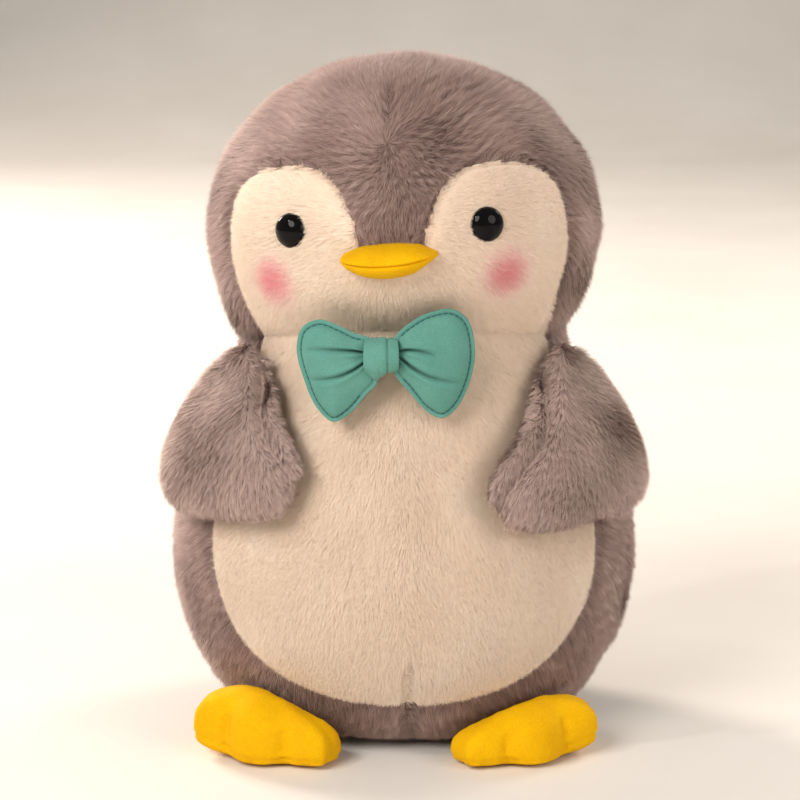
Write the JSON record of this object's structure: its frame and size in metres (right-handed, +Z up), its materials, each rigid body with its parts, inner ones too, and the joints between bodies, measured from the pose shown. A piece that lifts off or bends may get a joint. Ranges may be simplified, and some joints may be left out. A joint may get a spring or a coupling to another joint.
{
  "type": "plush penguin",
  "caption": "Sitting plush penguin of sewn pile fabric panels over stuffing, with flippers, feet, a beak, safety eyes and a bow tie.",
  "frame": {"origin": "centre of the flat base panel's underside, on the floor", "axes": "+Z up, the penguin faces -Y, +X is its own left side"},
  "size_m": [0.1784, 0.1532, 0.247],
  "materials": {
    "grey_pile": "matte",
    "cream_pile": "matte",
    "yellow_velour": "matte",
    "teal_weave": "matte",
    "teal_thread": "satin",
    "fibre": "matte",
    "black_plastic": "gloss",
    "nylon": "satin"
  },
  "bodies": {
    "torso": {"torso_stuffing": "fibre", "belly_panel": "cream_pile", "side_panel_left": "grey_pile", "side_panel_right": "grey_pile", "back_panel_left": "grey_pile", "back_panel_right": "grey_pile", "base_panel": "grey_pile"},
    "head": {"head_stuffing": "fibre", "face_panel": "cream_pile", "crown_panel": "grey_pile", "head_back_panel_left": "grey_pile", "head_back_panel_right": "grey_pile", "eye_left": "black_plastic", "eye_right": "black_plastic", "eye_washer_left": "nylon", "eye_washer_right": "nylon", "beak_upper": "yellow_velour", "beak_lower": "yellow_velour", "beak_stuffing": "fibre"},
    "bow": {"bow_front": "teal_weave", "bow_back": "teal_weave", "bow_padding": "fibre", "bow_knot": "teal_weave", "bow_tack_stitches": "teal_thread"},
    "flipper_left": {"flipper_left_outer_panel": "grey_pile", "flipper_left_inner_panel": "grey_pile", "flipper_left_stuffing": "fibre"},
    "foot_left": {"foot_left_upper": "yellow_velour", "foot_left_sole": "yellow_velour", "foot_left_stuffing": "fibre"},
    "flipper_right": {"flipper_right_outer_panel": "grey_pile", "flipper_right_inner_panel": "grey_pile", "flipper_right_stuffing": "fibre"},
    "foot_right": {"foot_right_upper": "yellow_velour", "foot_right_sole": "yellow_velour", "foot_right_stuffing": "fibre"}
  },
  "joints": [
    {"name": "neck_nod", "type": "hinge", "parent": "torso", "child": "head", "pos_m": [0, 0, 0.112], "axis": [1, 0, 0], "range_deg": [-8, 2], "stiffness_Nm_per_rad": 0.7},
    {"name": "bow_wiggle", "type": "hinge", "parent": "torso", "child": "bow", "pos_m": [-0.008, -0.06, 0.1485], "axis": [0, 1, 0], "range_deg": [-7, 7], "stiffness_Nm_per_rad": 0.02},
    {"name": "flipper_left_lift", "type": "hinge", "parent": "torso", "child": "flipper_left", "pos_m": [0.05248, -0.02909, 0.1458], "axis": [-0.4848, -0.8746, 0], "range_deg": [0, 60], "stiffness_Nm_per_rad": 0.02},
    {"name": "foot_left_flap", "type": "hinge", "parent": "torso", "child": "foot_left", "pos_m": [0.037, -0.0425, 0.002], "axis": [-0.9272, -0.3746, 0], "range_deg": [0, 8], "stiffness_Nm_per_rad": 0.05},
    {"name": "flipper_right_lift", "type": "hinge", "parent": "torso", "child": "flipper_right", "pos_m": [-0.05248, -0.02909, 0.1458], "axis": [-0.4848, 0.8746, 0], "range_deg": [0, 60], "stiffness_Nm_per_rad": 0.02},
    {"name": "foot_right_flap", "type": "hinge", "parent": "torso", "child": "foot_right", "pos_m": [-0.043, -0.0425, 0.002], "axis": [-0.9272, 0.3746, 0], "range_deg": [0, 8], "stiffness_Nm_per_rad": 0.05}
  ]
}
